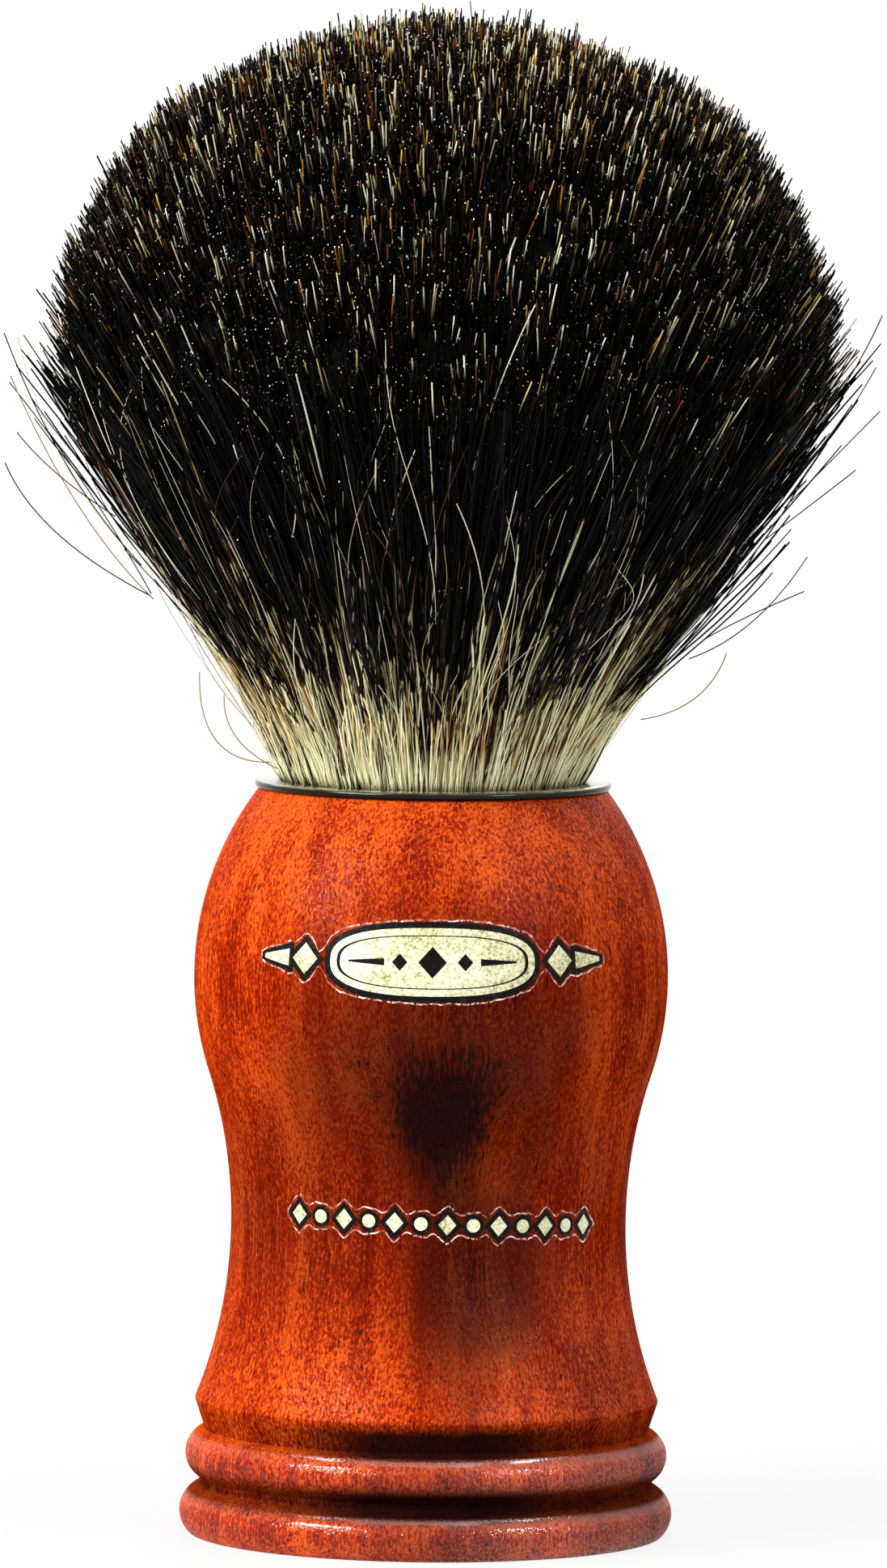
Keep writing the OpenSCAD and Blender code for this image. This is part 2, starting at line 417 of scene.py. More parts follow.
# How a hair's length is laid on its map: END_SHARE is the share that the root end takes, and the tip end.
# The root end runs from ROOT_START to ROOT_END up the hair, with room for each hair's own start of the cream.
ROOT_START, ROOT_END, TIP_LENGTH, END_SHARE = -12 * MM, 34 * MM, 12 * MM, 0.48
COLUMNS = 128    # kinds of hair, each a column of the map
# The cut ends' columns hold their painted glints.
CUT_COLUMNS = 8  # the last columns, for the cut ends
HAIR_U = 1 - CUT_COLUMNS / COLUMNS
PALE_FROM = 0.885  # where on the map the hairs that are pale all along start
PALE_COLUMN = math.ceil(PALE_FROM * COLUMNS)


def hair(s):
    """Pure badger hair, cut level: cream at the root, then brown, then a long black band, and tips from
    black to tan and cream. The hair's map says how far along it is and which hair it is."""
    made, tree, coords = new_material("Badger_hair_cut")
    strand = parts_of(tree, add(tree, "UVMap", uv_map="strand").outputs[0])
    u, v = strand["X"], strand["Y"]
    column = maths(tree, "FLOOR", maths(tree, "MULTIPLY", u, float(COLUMNS)))
    chance = add(tree, "TexWhiteNoise", {"W": column}, noise_dimensions="1D")
    chances = add(tree, "SeparateColor", {0: chance.outputs["Color"]}).outputs

    # Millimetres up from the root's cream end.
    grown = ranged(tree, v, 0.0, END_SHARE, ROOT_START / MM, ROOT_END / MM)
    root = ranged(tree, grown, 0.0, 14.0)
    cream = ramp(tree, chances[0], [
        (0.0, "#140c06"), (0.18, "#3e2410"), (0.26, "#b8823e"), (0.36, s.cream), (0.6, "#eef0bc"),
        (1.0, "#fffce0"),
    ])
    fading = ramp(tree, root, [(0.42, "#c4b078"), (0.62, s.brown), (0.8, "#1c120a"), (0.95, s.black)])
    shaft = blended(tree, ranged(tree, root, 0.1, 0.42), cream, fading)
    # Painted light: just above the collar, all but the darkest hairs are painted nearly white.
    height = parts_of(tree, coords["Object"])["Z"]
    collar_glow = ranged(tree, height, MOUTH_Z + 0.9 * MM, MOUTH_Z + 3.0 * MM, 1.0, 0.0)
    collar_glow = maths(tree, "MULTIPLY", collar_glow, maths(tree, "GREATER_THAN", chances[0], 0.2))
    shaft = blended(tree, collar_glow, shaft, linear("#fffad2"))

    # Tips, from the darkest kind of hair to the palest.
    tip = ramp(tree, u, [
        (0.0, "#050505"), (0.34, "#0e0b08"), (0.44, "#24160c"), (0.5, "#3e2410"), (0.57, "#6a3a16"),
        (0.63, "#7c5c30"), (0.67, "#b87428"), (0.73, "#96966a"), (0.76, "#ecc870"), (0.79, "#fff6c8"),
        (0.83, "#d4dcb0"), (0.85, "#fffbe6"),
    ], "CONSTANT")
    from_tip = maths(tree, "MULTIPLY", maths(tree, "SUBTRACT", 1.0, v), TIP_LENGTH / END_SHARE / MM)
    near_tip = maths(tree, "DIVIDE", from_tip, ranged(tree, chances[1], 0.0, 1.0, 1.0, 4.2))
    tipped = ranged(tree, near_tip, 0.3, 1.0, 1.0, 0.0, "SMOOTHSTEP")
    colour = blended(tree, tipped, shaft, tip)
    # The palest kinds are pale from root to tip, and some of them tan.
    pale = ramp(tree, chances[2], [
        (0.0, "#4a2c16"), (0.16, "#8a5a2e"), (0.32, "#c8a868"), (0.5, "#f2ecc0"), (1.0, "#fffff0"),
    ])
    colour = blended(tree, maths(tree, "GREATER_THAN", u, PALE_FROM), colour, pale)
    # Cut ends: painted glints, from dark to white up their columns.
    cut = ramp(tree, v, [(0.0, "#120c08"), (0.45, "#5a4630"), (0.8, "#e8e0c8"), (1.0, "#ffffff")])
    colour = blended(tree, maths(tree, "GREATER_THAN", u, HAIR_U), colour, cut)
    principled(tree, {"Base Color": colour, "Roughness": 0.34, "IOR": 1.55, "Specular IOR Level": 0.06})
    return made


def packed_hair():
    """Badger hair packed too close to tell apart, inside the knot: black, as the hair's band is, and brown
    near the collar, painted dark there as the shade between the hairs.
    """
    made, tree, coords = new_material("Badger_hair_packed")
    height = parts_of(tree, coords["Object"])["Z"]
    fine = noise(tree, coords["Object"], (2500, 2500, 120))["Fac"]
    risen = summed(tree, ranged(tree, height, MOUTH_Z, MOUTH_Z + 12 * MM), (fine, 0.3))
    colour = ramp(tree, risen, [
        (0.12, "#7c5c2e"), (0.2, "#3a2410"), (0.34, "#180e06"), (0.55, "#0a0705"), (0.9, "#050504"),
    ])
    principled(tree, {"Base Color": colour, "Roughness": 0.9, "IOR": 1.55, "Specular IOR Level": 0.1})
    return made


def gold_ink(s):
    """Pale gold ink on a transfer film: metal flakes in the ink give it a fine olive and cream mottle."""
    made, tree, coords = new_material("Gold_ink_printed_on_film")
    # The flakes are under 0.05 mm; they are drawn 0.22 mm wide, so that they show.
    flakes = noise(tree, coords["Object"], 4500.0, 2.0, 0.7)["Fac"]
    worn = noise(tree, coords["Object"], 420.0)["Fac"]
    tone = summed(tree, flakes, (worn, 0.5))
    colour = ramp(tree, tone, [(0.55, "#96965a"), (0.7, s.gold), (0.86, "#f4f3d8")])
    principled(tree, {"Base Color": colour, "Roughness": 0.38, "IOR": 1.5, "Specular IOR Level": 0.25})
    return made


def mottled(name, scale, stops, inputs, relief=0.0):
    """A material of one fine mottle: its colour runs over the stops, and it may stand up in relief."""
    made, tree, coords = new_material(name)
    mottle = noise(tree, coords["Object"], scale, 3.0)["Fac"]
    inputs = {"Base Color": ramp(tree, mottle, stops), "IOR": 1.5, **inputs}
    if relief:
        bump = add(tree, "Bump", {"Height": mottle, "Strength": 0.3, "Distance": relief})
        inputs["Normal"] = bump.outputs[0]
    principled(tree, inputs)
    return made


def black_ink(s):
    """Black ink on a transfer film: an even satin black with a few rubbed places."""
    inputs = {"Roughness": 0.42, "Specular IOR Level": 0.08}
    return mottled("Black_ink_printed_on_film", 2600.0, [(0.55, s.ink), (0.8, "#3a2c28")], inputs)


def film_edge_glint():
    """The cut edge of a clear transfer film under lacquer: a thin, broken, pale line, a painted glint."""
    stops = [(0.4, "#8a3f28"), (0.52, "#c79a8a"), (0.66, "#fff4ee")]
    return mottled("Clear_film_cut_edge", 2200.0, stops, {"Roughness": 0.3})


def speckled(name, low, high, cell_mm, roughness):
    """A cast or wound material with a fine mottle between two colours."""
    stops = [(0.35, low), (0.65, high)]
    return mottled(name, 1 / (cell_mm * MM), stops, {"Roughness": roughness}, 0.05 * MM)


# ---------------------------------------------------------------- camera and image points

def camera_axes():
    """The camera's place, its turn, and how many image points one unit of slope spans."""
    camera = bpy.context.scene.camera
    reach = max(POINT_W, POINT_H) * camera.data.lens / camera.data.sensor_width
    return camera.matrix_world.translation.copy(), camera.matrix_world.to_3x3(), reach


def place_at(point, tree):
    """Where the ray through an image point meets the surface in tree, or the place nearest the ray."""
    eye, turn, reach = camera_axes()
    ray = (turn @ Vector((point[0] - POINT_W / 2, POINT_H / 2 - point[1], -reach))).normalized()
    hit = tree.ray_cast(eye, ray)[0]
    if hit is None:
        along = eye.length
        for _ in range(8):
            hit = tree.find_nearest(eye + ray * along)[0]
            along = (hit - eye).dot(ray)
    return hit


def shown_at(co):
    """Image x and y of points given as rows."""
    eye, turn, reach = camera_axes()
    local = (co - np.array(eye)) @ np.array(turn)
    x = POINT_W / 2 - local[:, 0] / local[:, 2] * reach
    y = POINT_H / 2 + local[:, 1] / local[:, 2] * reach
    return np.stack([x, y], axis=1)


# ---------------------------------------------------------------- making meshes

def linked(name, data):
    """A new object in the scene."""
    made = bpy.data.objects.new(name, data)
    bpy.context.scene.collection.objects.link(made)
    return made


def new_piece(name, mesh, material):
    """Links a mesh as a piece of the brush with its material."""
    mesh.materials.append(material)
    made = linked(name, mesh)
    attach(made, "root")
    return made


def mesh_from(name, co, faces, smooth=True):
    """A mesh from rows of points and rows of faces; each entry of faces has one number of sides."""
    mesh = bpy.data.meshes.new(name)
    loops = np.concatenate([f.ravel() for f in faces])
    sizes = np.concatenate([np.full(len(f), f.shape[1]) for f in faces])
    mesh.vertices.add(len(co))
    mesh.vertices.foreach_set("co", co.astype(np.float32).ravel())
    mesh.loops.add(len(loops))
    mesh.loops.foreach_set("vertex_index", loops.astype(np.int32))
    mesh.polygons.add(len(sizes))
    mesh.polygons.foreach_set("loop_start", np.concatenate([[0], np.cumsum(sizes)[:-1]]).astype(np.int32))
    mesh.polygons.foreach_set("use_smooth", np.full(len(sizes), smooth))
    mesh.update(calc_edges=True)
    mesh.validate()
    return mesh


def lathe(name, rows, segments, sharp_degrees=30):
    """Turns an outline that starts and ends on the axis into a closed mesh, smooth along its curves."""
    rows = np.asarray(rows)
    turns = np.arange(segments) * TURN / segments
    ring = np.stack([np.cos(turns), np.sin(turns)], axis=1)
    inner = rows[1:-1]
    count = len(inner)
    co = np.empty((count, segments, 3))
    co[:, :, :2] = inner[:, None, :1] * ring[None]
    co[:, :, 2] = inner[:, None, 1]
    ends = np.array([[0, 0, rows[0][1]], [0, 0, rows[-1][1]]])
    index = np.arange(count * segments).reshape(count, segments)
    after = np.roll(index, -1, axis=1)
    sides = np.stack([index[:-1], after[:-1], after[1:], index[1:]], axis=-1).reshape(-1, 4)
    first, last = count * segments, count * segments + 1
    bottom = np.stack([np.full(segments, first), after[0], index[0]], axis=1)
    top = np.stack([np.full(segments, last), index[-1], after[-1]], axis=1)
    mesh = mesh_from(name, np.concatenate([co.reshape(-1, 3), ends]), [sides, bottom, top])
    mesh.set_sharp_from_angle(angle=math.radians(sharp_degrees))
    return mesh


def eased(rows, radius, sharpest=12):
    """An outline with each corner of more than sharpest degrees rounded off."""
    made = [rows[0]]
    for before, corner, after in zip(rows, rows[1:], rows[2:]):
        a, b = before - corner, after - corner
        turn = 180 - math.degrees(math.acos(np.clip(a @ b / np.linalg.norm(a) / np.linalg.norm(b), -1, 1)))
        cut = min(radius, 0.45 * np.linalg.norm(a), 0.45 * np.linalg.norm(b))
        if turn < sharpest:
            made.append(corner)
            continue
        start = corner + a / np.linalg.norm(a) * cut
        end = corner + b / np.linalg.norm(b) * cut
        for t in np.linspace(0, 1, 5):
            made.append((1 - t) ** 2 * start + 2 * t * (1 - t) * corner + t * t * end)
    made.append(rows[-1])
    return np.array(made)


# ---------------------------------------------------------------- hair

def bezier(a, b, c, d, t):
    """Points on cubic curves: rows of ends and handles, at the values t."""
    t = t[..., None]
    a, b, c, d = (p[:, None] for p in (a, b, c, d))
    return (1 - t) ** 3 * a + 3 * (1 - t) ** 2 * t * b + 3 * (1 - t) * t * t * c + t ** 3 * d


def unit(vectors):
    """Vectors made one long."""
    return vectors / np.linalg.norm(vectors, axis=-1, keepdims=True)


def outset(rows, reach):
    """An outline's rows, listed upwards, each moved outwards by its own reach."""
    along = unit(np.gradient(rows, axis=0))
    return rows + reach[:, None] * np.stack([along[:, 1], -along[:, 0]], axis=1)


def place_tips(count, rng):
    """Hair tips spread over the knot's dome and, thinning out, down its flank: radius, height and rank.
    The rank runs from 0 at the top of the dome to 1 at the lowest flank tip."""
    widest = KNOT_ROWS[KNOT_ROWS[:, 0].argmax(), 1]
    lowest = widest - 14.5 * MM
    rows = KNOT_ROWS[KNOT_ROWS[:, 1] >= lowest]
    # The solid follows the dense hair, and the tips reach past it, most of all on the dome.
    places = [lowest, widest - 3 * MM, widest, widest + 10 * MM, widest + 17 * MM, HAIR_TOP]
    reach = np.interp(rows[:, 1], places, [-1.5, -0.5, 0.4, 1.8, 2.2, 1.3])
    rows = outset(rows, reach * MM)[::-1]
    rows = np.concatenate([[[0, rows[0, 1]]], rows[rows[:, 0] > 0]])
    step = np.hypot(*np.diff(rows, axis=0).T)
    middle = (rows[1:] + rows[:-1]) / 2
    keep = np.interp(middle[:, 1], [lowest, widest - 5 * MM, widest + 1 * MM], [0.1, 0.5, 1.0])
    weight = np.concatenate([[0], np.cumsum(step * middle[:, 0] * keep)])
    weight /= weight[-1]
    rank = rng.random(count)
    radius, height = (np.interp(rank, weight, rows[:, i]) for i in (0, 1))
    return radius, height, rank


def polar(radius, azimuth, height):
    """Points from radius, azimuth and height."""
    rows = [radius * np.cos(azimuth), radius * np.sin(azimuth), height * np.ones_like(azimuth)]
    return np.stack(rows, axis=-1)


CLUMP = 14  # hairs whose tips lean together


def grow(count, rng):
    """Ends and handles of the hairs' curves, with each hair's rank and tip azimuth."""
    radius, height, rank = place_tips(count, rng)
    azimuth = rng.random(count) * TURN
    tip = polar(radius, azimuth, height)
    clumps = count // CLUMP
    middles = tip[rng.choice(count, clumps, replace=False)]
    lean = rng.normal(0, 1, (clumps, 3)) * (0.045, 0.045, 0)
    longer = rng.normal(0, 0.22, clumps) * MM
    tree = KDTree(clumps)
    for i, middle in enumerate(middles):
        tree.insert(middle, i)
    tree.balance()
    own = np.array([tree.find(p)[1] for p in tip])
    pull = 0.12 + 0.3 * rank[:, None] ** 3
    tip += (middles[own] - tip) * pull
    # The whole knot leans a little to the right, and its left flank is thin.
    thin = 1.3 * np.clip(-np.cos(azimuth), 0, 1) ** 2 * np.clip((rank - 0.65) / 0.15, 0, 1)
    tip += np.stack([0.45 + thin, 0 * thin, 0 * thin], axis=1) * MM

    root_r = (KNOT_ROWS[0, 0] - 0.1 * MM) * np.sqrt(rank)
    root_azimuth = azimuth + rng.normal(0, 0.06, count)
    root = polar(root_r, root_azimuth, MOUTH_Z - 0.5 * MM)
    outward = polar(np.ones(count), azimuth, 0.0)
    out = np.hypot(tip[:, 0], tip[:, 1]) - root_r
    rise = tip[:, 2] - root[:, 2]
    chord = np.arctan2(out, rise)
    root_angle = chord * (1.3 - 0.7 * rank ** 2)
    # Some tufts on the side stand out, each of them together, and so do single hairs, and these run straight.
    side = np.clip((rank - 0.5) / 0.25, 0, 1)
    tuft = np.where(rng.random(clumps) < 0.22, rng.uniform(0.8, 3.0, clumps), 0.0)[own]
    single = np.where(rng.random(count) < 0.1, rng.uniform(0.5, 3.0, count), 0.0)
    loose = side * (tuft + single)
    tip_angle = chord * (1.25 - 0.3 * rank ** 2 + 0.08 * loose) + rng.normal(0, 0.05, count)
    around = polar(np.ones(count), azimuth + math.pi / 2, 0.0)
    up = np.array([0, 0, 1.0])
    reach = (np.hypot(out, rise) * 0.34)[:, None]
    leaving, arriving = (
        outward * np.sin(angle)[:, None] + up * np.cos(angle)[:, None] for angle in (root_angle, tip_angle)
    )
    arriving = arriving + lean[own] + around * rng.normal(0, 0.09, count)[:, None]
    uneven = rng.normal(-0.95, 0.5, count).clip(-2.4, 0.2) * MM + longer[own]
    uneven += (rng.random(count) < 0.03) * rng.random(count) * 0.9 * MM
    tip = tip + arriving * uneven[:, None]
    tip = tip + outward * (loose + side * rng.normal(0, 0.25, count))[:, None] * MM
    return root, root + leaving * reach, tip - arriving * reach, tip, rank, azimuth


def along_map(paths, whole, delay):
    """The map's v along each path: the tip end, and on a whole hair the root end, with its own delay."""
    step = np.linalg.norm(np.diff(paths, axis=1), axis=2)
    run = np.concatenate([np.zeros((len(paths), 1)), np.cumsum(step, axis=1)], axis=1)
    left = run[:, -1:] - run
    tip = 1 - END_SHARE * np.minimum(left / TIP_LENGTH, 1)
    if not whole:
        return tip
    root = END_SHARE * np.clip((run - delay[:, None] - ROOT_START) / (ROOT_END - ROOT_START), 0, 1)
    return np.where(left < TIP_LENGTH, tip, root + (1 - 2 * END_SHARE) * run / run[:, -1:])


SIDES = 3


def strands(name, paths, thickness, column, v, glint_v, rng):
    """One mesh of many hairs: a three-sided tube along each path, with a flat cut end on its own column."""
    count, rings = paths.shape[:2]
    tangent = unit(np.gradient(paths, axis=1))
    outward = unit(paths[:, -1] * (1, 1, 0) + (TINY, 0, 0))
    side = unit(np.cross(tangent, outward[:, None]))
    other = np.cross(tangent, side)
    turn = rng.random(count)[:, None] * TURN + np.arange(SIDES) * TURN / SIDES
    wide = (thickness / 2)[:, :, None, None]
    cos, sin = (f(turn)[:, None, :, None] for f in (np.cos, np.sin))
    spokes = cos * side[:, :, None] + sin * other[:, :, None]
    co = paths[:, :, None] + wide * spokes
    # Each end is cut on a slant, so that its face, painted pale as a glint, looks outwards.
    slant = (spokes[:, -1] @ outward[:, :, None]) * wide[:, -1]
    co[:, -1] -= slant * tangent[:, -1, None]
    caps = co[:, -1]
    index = np.arange(count * rings * SIDES).reshape(count, rings, SIDES)
    after = np.roll(index, -1, axis=2)
    quads = np.stack([index[:, :-1], after[:, :-1], after[:, 1:], index[:, 1:]], axis=-1).reshape(-1, 4)
    ends = index[:, 0, ::-1].reshape(-1, 3)
    cuts = np.arange(count * SIDES).reshape(count, SIDES) + count * rings * SIDES
    mesh = mesh_from(name, np.concatenate([co.reshape(-1, 3), caps.reshape(-1, 3)]), [quads, ends, cuts])

    spread = np.array([-0.35, 0.0, 0.35]) / COLUMNS
    u = ((column + 0.5) / COLUMNS)[:, None, None] + spread
    uv = np.stack([np.broadcast_to(u, index.shape), np.broadcast_to(v[:, :, None], index.shape)], axis=-1)
    cut_column = COLUMNS - CUT_COLUMNS + rng.integers(0, CUT_COLUMNS, count)
    cut_u = ((cut_column + 0.5) / COLUMNS)[:, None] + spread
    cut_uv = np.stack([cut_u, glint_v[:, None] + np.array([0, 0.012, 0])], axis=-1)
    uv = np.concatenate([uv.reshape(-1, 2), cut_uv.reshape(-1, 2)])
    loops = np.empty(len(mesh.loops), np.int32)
    mesh.loops.foreach_get("vertex_index", loops)
    for layer in ("strand", "OFBake"):
        mesh.uv_layers.new(name=layer).uv.foreach_set("vector", uv[loops].astype(np.float32).ravel())
    return mesh


def hair_columns(count, rank, rng):
    """A column of the map for each hair: most are black with black or brown tips, and pale tips grow
    more common towards the top of the dome."""
    chance = rng.random(count)
    paler = np.interp(rank, [0, 0.25, 0.6, 0.85, 1], [1.3, 0.75, 0.35, 0.15, 0.2])
    bands = np.array([(0.0, 0.46), (0.46, 0.64), (0.64, 0.76), (0.76, PALE_FROM), (PALE_FROM, HAIR_U)])
    shares = np.stack([np.ones(count), 0.24 * paler, 0.06 * paler, 0.19 * paler, 0.015 + 0 * paler])
    shares = np.cumsum(shares / shares.sum(axis=0), axis=0)
    kind = (chance > shares).sum(axis=0).clip(0, len(bands) - 1)
    low, high = bands[kind].T * COLUMNS
    first, last = np.ceil(low), np.floor(high) - 1
    return first + np.floor(rng.random(count) * (last - first + 1))


class BRUSH_OT_turn_handle(bpy.types.Operator):
    """Turns the wooden handle from the frame's outline, with sanded edges"""

    bl_idname = "brush.turn_handle"
    bl_label = "Turn handle"

    def execute(self, context):
        s = context.scene.brush_wood
        socket = SOCKET[np.lexsort((-SOCKET[:, 0], -SOCKET[:, 1]))]
        rows = np.concatenate([[[0, OUTSIDE[0][1]]], OUTSIDE, socket, [[0, socket[-1][1]]]])
        mesh = lathe("turned_handle", eased(rows, s.eased), s.segments)
        piece = new_piece("turned_handle", mesh, hardwood(s))
        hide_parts("handle")
        return {"FINISHED"}


class BRUSH_OT_finish_fittings(bpy.types.Operator):
    """Gives the collar, the resin plug, the thread and the epoxy their materials"""

    bl_idname = "brush.finish_fittings"
    bl_label = "Finish collar and inner fittings"

    def execute(self, context):
        finishes = {
            "collar": nickel(),
            "knot_plug": speckled("Resin_cast_amber", "#b08a4e", "#d8bf88", 1.2, 0.35),
            "root_binding": speckled("Linen_thread_waxed", "#b9a67c", "#ece0bd", 0.12, 0.6),
            "epoxy_bed": speckled("Epoxy_cured_milky", "#d6cfb2", "#efe9d2", 1.5, 0.3),
        }
        for node, material in finishes.items():
            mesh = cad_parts[node].data
            mesh.materials.clear()
            mesh.materials.append(material)
        return {"FINISHED"}


class BRUSH_OT_pack_knot(bpy.types.Operator):
    """Makes the dark mass of packed hair inside the knot"""

    bl_idname = "brush.pack_knot"
    bl_label = "Pack inner hair"

    def execute(self, context):
        stub = KNOT_ROWS[KNOT_ROWS[:, 1] < MOUTH_Z - TINY]
        above = KNOT_ROWS[KNOT_ROWS[:, 1] > MOUTH_Z]
        inset = 1.4 * MM
        core = outset(above, np.full(len(above), -inset))
        core = core[core[:, 0] > 0.5 * MM][::2]
        rows = np.concatenate([[[0, stub[0][1]]], stub * (0.9, 1), core, [[0, HAIR_TOP - inset]]])
        piece = new_piece("inner_hair", lathe("inner_hair", rows, 96, 60), packed_hair())
        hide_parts("hair_knot")
        return {"FINISHED"}


SECTORS = 8
TIP_SHOWN = 10 * MM  # how much of an inner hair is made


class BRUSH_OT_plant_hair(bpy.types.Operator):
    """Plants the knot's hair, in sectors round the axis"""

    bl_idname = "brush.plant_hair"
    bl_label = "Plant hair"

    def execute(self, context):
        s = context.scene.brush_hair
        rng = np.random.default_rng(22)
        total = s.outer + s.inner
        root, leaving, arriving, tip, rank, azimuth = grow(total, rng)
        order = np.argsort(rank)
        outer = np.zeros(total, bool)
        outer[order[-s.outer:]] = True
        column = hair_columns(total, rank, rng)
        size = rng.normal(1, 0.16, total).clip(0.6, 1.5)
        # How bright each cut end's painted glint is.
        glint_v = 0.98 * rng.random(total) ** 2.6
        # How deep each hair's root lies among the outer hairs: 0 on the outside, 1 the deepest.
        deep = ((1 - rank) / (1 - rank[order[-s.outer]])).clip(0, 1)
        delay = self.delays(azimuth, deep, rng)
        length = np.linalg.norm(tip - root, axis=1)
        material = hair(s)
        sector = np.floor(azimuth / TURN * SECTORS).astype(int)
        curves = (root, leaving, arriving, tip)
        for n in range(SECTORS):
            parts = []
            for whole, rings in ((True, 16), (False, 4)):
                chosen = np.flatnonzero((sector == n) & (outer == whole))
                start = np.zeros(len(chosen)) if whole else 1 - TIP_SHOWN / length[chosen]
                t = start[:, None] + (1 - start[:, None]) * np.linspace(0, 1, rings)
                paths = bezier(*(c[chosen] for c in curves), t)
                if whole:
                    paths += self.waves(paths, rng)
                    paths += self.lifts(azimuth[chosen], delay[chosen], t)
                v = along_map(paths, whole, delay[chosen])
                taper = np.interp(t, [0, 0.5, 0.9, 1], [0.72, 1, 1, 0.8])
                thick = s.thickness * size[chosen][:, None] * taper
                parts.append(strands("lock", paths, thick, column[chosen], v, glint_v[chosen], rng))
            mesh = join(f"hair_lock_{n + 1}", parts)
            new_piece(f"hair_lock_{n + 1}", mesh, material)
        return {"FINISHED"}

    def delays(self, azimuth, deep, rng):
        """How far up from the collar each hair's cream starts to fade: in streaks round the knot, higher
        at the sides than in the middle of the front, and lower for the hairs inside, as painted shade among
        them."""
        streaks = sum(
            rng.normal(0, 1.3) * np.cos(n * azimuth + rng.random() * 6.3) for n in (5, 9, 14, 23, 37, 52)
        )
        front = np.cos(azimuth + math.pi / 2)
        sides = 6.0 * (1 - front ** 2) - 4.5 * np.exp(-((front - 1) / 0.015) ** 2)
        # Deeper hairs lose their cream sooner: painted shade among the hairs.
        own = rng.gamma(0.62, 15.0, len(azimuth)) - 4.4 - 4.0 * np.clip(deep / 0.6, 0, 1)
        return (streaks + sides + own).clip(ROOT_START / MM + 0.5, 20.0) * MM

    def lifts(self, azimuth, delay, t):
        """Hairs that stay cream the longest lie over the others."""
        lift = 0.35 * MM * np.interp(delay / MM, [2.0, 10.0], [0.0, 1.0])[:, None]
        return polar(lift * np.sin(math.pi * t ** 0.6), azimuth[:, None] + 0 * t, 0.0)

    def waves(self, paths, rng):
        """A slow sideways wave along each hair, still at the root and the tip."""
        count, rings = paths.shape[:2]
        t = np.linspace(0, 1, rings)
        phase = rng.random((count, 2, 1)) * TURN
        size = np.abs(rng.normal(0, 0.24, (count, 2, 1))) * MM
        turns = rng.uniform(1.0, 2.6, (count, 2, 1))
        wave = size * np.sin(TURN * turns * t + phase) * np.sin(math.pi * t ** 0.7)
        return np.stack([wave[:, 0], wave[:, 1], 0 * wave[:, 0]], axis=-1)


def join(name, meshes):
    """One mesh from several that share their maps."""
    joined = bmesh.new()
    for mesh in meshes:
        joined.from_mesh(mesh)
        bpy.data.meshes.remove(mesh)
    mesh = bpy.data.meshes.new(name)
    joined.to_mesh(mesh)
    joined.free()
    return mesh


def flank_radius(height):
    """The knot's radius at a height on its flank."""
    widest = KNOT_ROWS[KNOT_ROWS[:, 0].argmax()]
    rows = KNOT_ROWS[(KNOT_ROWS[:, 1] > MOUTH_Z) & (KNOT_ROWS[:, 1] <= widest[1])]
    return np.interp(height, rows[:, 1], rows[:, 0])


class BRUSH_OT_lay_guard_hairs(bpy.types.Operator):
    """Lays the long wavy pale hairs that lie over the knot's flank"""

    bl_idname = "brush.lay_guard_hairs"
    bl_label = "Lay guard hairs"

    def execute(self, context):
        s = context.scene.brush_hair
        rng = np.random.default_rng(5)
        # Most follow the knot; the last of them cross it, bent well to one side.
        along, across = 165, 16
        count, rings = along + across, 22
        crossing = np.arange(count)[:, None] >= along
        t = np.linspace(0, 1, rings)[None]

        def each(draw, *values):
            """A draw for each hair."""
            return draw(*values, (count, 1))

        low = each(rng.uniform, 0.3, 15)
        long = np.where(crossing, each(rng.uniform, 9, 16), each(rng.uniform, 7, 26))
        long = np.minimum(long, each(rng.uniform, 24, 33) - low)
        height = MOUTH_Z + (low + long * t) * MM
        # One to each slice of the knot, so that they lie evenly.
        azimuth = (rng.permutation(count)[:, None] + each(rng.random)) * TURN / count
        drift = np.where(crossing, each(rng.normal, 0, 0.28), each(rng.normal, 0, 0.08))
        bow = each(rng.normal, 0, 0.06) * np.sin(math.pi * t)
        wave = np.abs(each(rng.normal, 0, 0.35))
        wave = wave * np.sin(TURN * each(rng.uniform, 0.5, 1.8) * t + each(rng.random) * 6.3)
        lift = each(rng.uniform, -0.4, 1.1) * np.sin(math.pi * t)
        radius = flank_radius(height) + lift * MM
        paths = polar(radius, azimuth + drift * t ** 1.4 + bow + wave * MM / radius, 0.0)
        paths[:, :, 2] = height
        column = PALE_COLUMN + rng.integers(0, COLUMNS - CUT_COLUMNS - PALE_COLUMN, count)
        thick = s.thickness * each(rng.uniform, 0.3, 0.58) * np.interp(t, [0, 0.2, 1], [0.6, 1, 0.8])
        v = along_map(paths, False, None)
        mesh = strands("guard_hairs", paths, thick, column, v, np.full(count, 0.9), rng)
        new_piece("guard_hairs", mesh, bpy.data.materials["Badger_hair_cut"])
        return {"FINISHED"}


